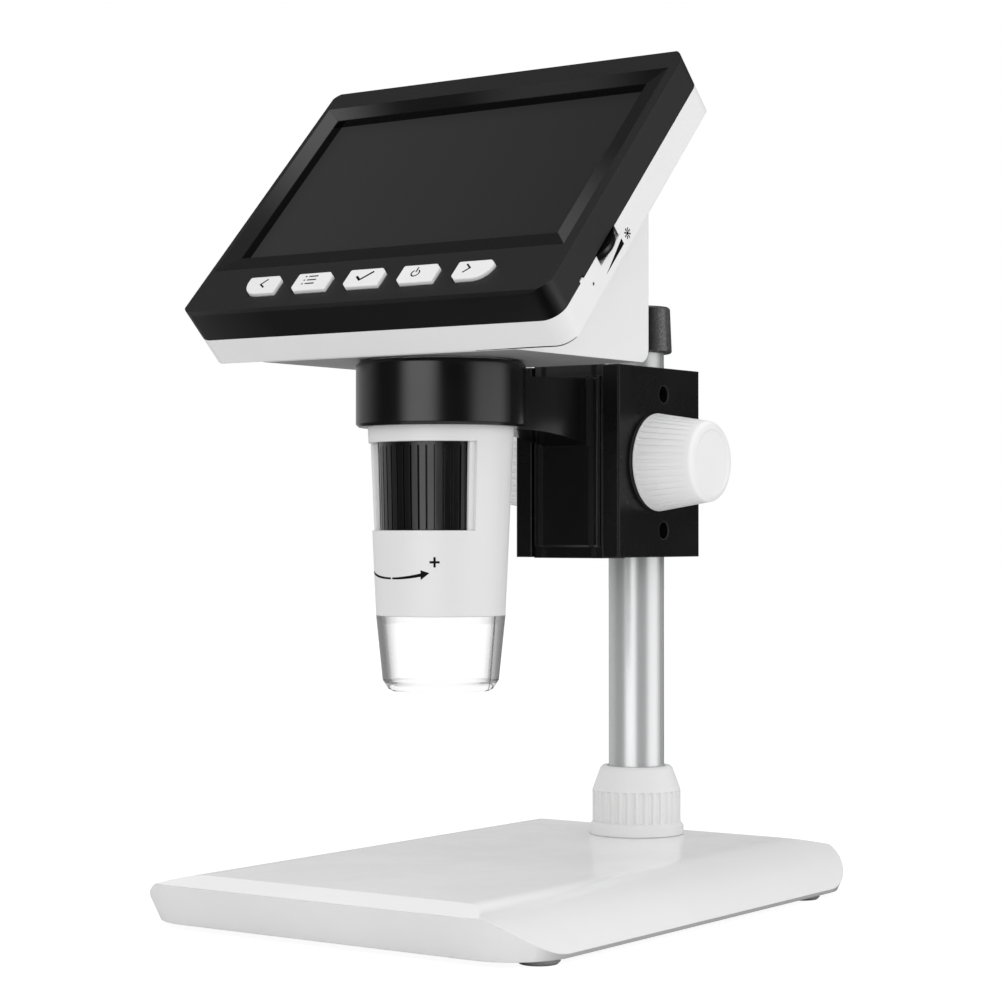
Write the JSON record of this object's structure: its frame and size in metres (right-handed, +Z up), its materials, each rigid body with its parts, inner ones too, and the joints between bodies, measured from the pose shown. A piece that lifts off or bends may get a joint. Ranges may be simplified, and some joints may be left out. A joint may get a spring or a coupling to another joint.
{
  "type": "digital microscope",
  "caption": "Desk digital microscope: a tilted screen head with keys and a camera barrel below it, lifted out of a ring on a rack-focused holder, on a clamped pole over a wide foot.",
  "frame": {"origin": "middle of the foot's outline, on the table under the rubber feet", "axes": "+Z up along the pole, +X to the user's right, -Y to the user, who faces the screen"},
  "size_m": [0.12, 0.165, 0.216],
  "materials": {
    "white_plastic": "satin white moulding",
    "bezel_plastic": "fine matt charcoal",
    "black_plastic": "satin black",
    "wheel_plastic": "matt black, ribbed",
    "screen": "dark screen under a clear cover",
    "clear_plastic": "clear moulding",
    "lens_glass": "polished, coated",
    "pole_metal": "fine turned, satin",
    "steel": "plain",
    "dark_steel": "blackened",
    "brass": "machined",
    "cap_rubber": "matt, grainy",
    "foot_rubber": "matt",
    "circuit_board": "green solder mask",
    "led_board": "white solder mask",
    "led": "yellow phosphor under clear resin",
    "cell_wrap": "shrink wrap"
  },
  "bodies": {
    "stand": {"base_shell": "white_plastic", "base_plate": "steel", "plate_screws": "steel", "rubber_feet": "foot_rubber", "pole": "pole_metal", "pole_cap": "cap_rubber", "collet": "white_plastic"},
    "nut": {"collar_nut": "white_plastic"},
    "block": {"focus_block": "black_plastic", "clamp_screws": "dark_steel"},
    "knobs": {"knob_shaft": "steel", "pinion": "brass", "knob_right": "white_plastic", "knob_left": "white_plastic"},
    "carriage": {"holder": "black_plastic", "rack": "brass", "rack_screws": "steel"},
    "head": {"front_bezel": "bezel_plastic", "screen_glass": "screen", "lcd_panel": "dark_steel", "rear_shell": "white_plastic", "key_board": "circuit_board", "key_switches": "dark_steel", "brightness_pot": "black_plastic", "reset_switch": "dark_steel", "main_board": "circuit_board", "usb_socket": "steel", "card_socket": "steel", "battery": "cell_wrap", "shell_screws": "steel", "barrel": "white_plastic", "barrel_screws": "steel", "sensor_holder": "black_plastic", "sensor_board": "circuit_board", "led_board": "led_board", "leds": "led", "clear_hood": "clear_plastic"},
    "back_key": {"button_back": "white_plastic"},
    "menu_key": {"button_menu": "white_plastic"},
    "ok_key": {"button_ok": "white_plastic"},
    "power_key": {"button_power": "white_plastic"},
    "next_key": {"button_next": "white_plastic"},
    "wheel": {"brightness_wheel": "wheel_plastic"},
    "focus": {"focus_ring": "wheel_plastic"},
    "lens_slide": {"lens_carrier": "black_plastic", "lenses": "lens_glass"}
  },
  "joints": [
    {"name": "block_height", "type": "slide", "parent": "stand", "child": "block", "axis": [0, 0, 1], "range_m": [-0.026, 0.005]},
    {"name": "nut_turn", "type": "hinge", "parent": "stand", "child": "nut", "pos_m": [0, 0.0602, 0.02], "axis": [0, 0, 1], "range_deg": [0, 180]},
    {"name": "focus_travel", "type": "slide", "parent": "block", "child": "carriage", "axis": [0, 0, 1], "range_m": [-0.015, 0.015]},
    {"name": "knob_turn", "type": "hinge", "parent": "block", "child": "knobs", "pos_m": [0, 0.0435, 0.1162], "axis": [1, 0, 0], "range_deg": [-175, 175]},
    {"name": "head_lift", "type": "slide", "parent": "carriage", "child": "head", "axis": [0, 0, 1], "range_m": [0, 0.095]},
    {"name": "brightness_turn", "type": "hinge", "parent": "head", "child": "wheel", "pos_m": [0.0492, -0.04025, 0.16449], "axis": [0, -0.7193, 0.6947], "range_deg": [-140, 140]},
    {"name": "focus_turn", "type": "hinge", "parent": "head", "child": "focus", "pos_m": [0, -0.031, 0.1087], "axis": [0, 0, 1], "range_deg": [-124, 124]},
    {"name": "lens_travel", "type": "slide", "parent": "head", "child": "lens_slide", "axis": [0, 0, 1], "range_m": [-0.004, 0.004]},
    {"name": "back_press", "type": "slide", "parent": "head", "child": "back_key", "axis": [0, 0.7193, -0.6947], "range_m": [0, 0.0008], "stiffness_N_per_m": 400, "springref_m": -0.0005},
    {"name": "menu_press", "type": "slide", "parent": "head", "child": "menu_key", "axis": [0, 0.7193, -0.6947], "range_m": [0, 0.0008], "stiffness_N_per_m": 400, "springref_m": -0.0005},
    {"name": "ok_press", "type": "slide", "parent": "head", "child": "ok_key", "axis": [0, 0.7193, -0.6947], "range_m": [0, 0.0008], "stiffness_N_per_m": 400, "springref_m": -0.0005},
    {"name": "power_press", "type": "slide", "parent": "head", "child": "power_key", "axis": [0, 0.7193, -0.6947], "range_m": [0, 0.0008], "stiffness_N_per_m": 400, "springref_m": -0.0005},
    {"name": "next_press", "type": "slide", "parent": "head", "child": "next_key", "axis": [0, 0.7193, -0.6947], "range_m": [0, 0.0008], "stiffness_N_per_m": 400, "springref_m": -0.0005}
  ],
  "couplings": [
    {"joint": "knob_turn", "follows": "focus_travel", "rad_per_m": -200},
    {"joint": "focus_turn", "follows": "lens_travel", "rad_per_m": 520}
  ]
}
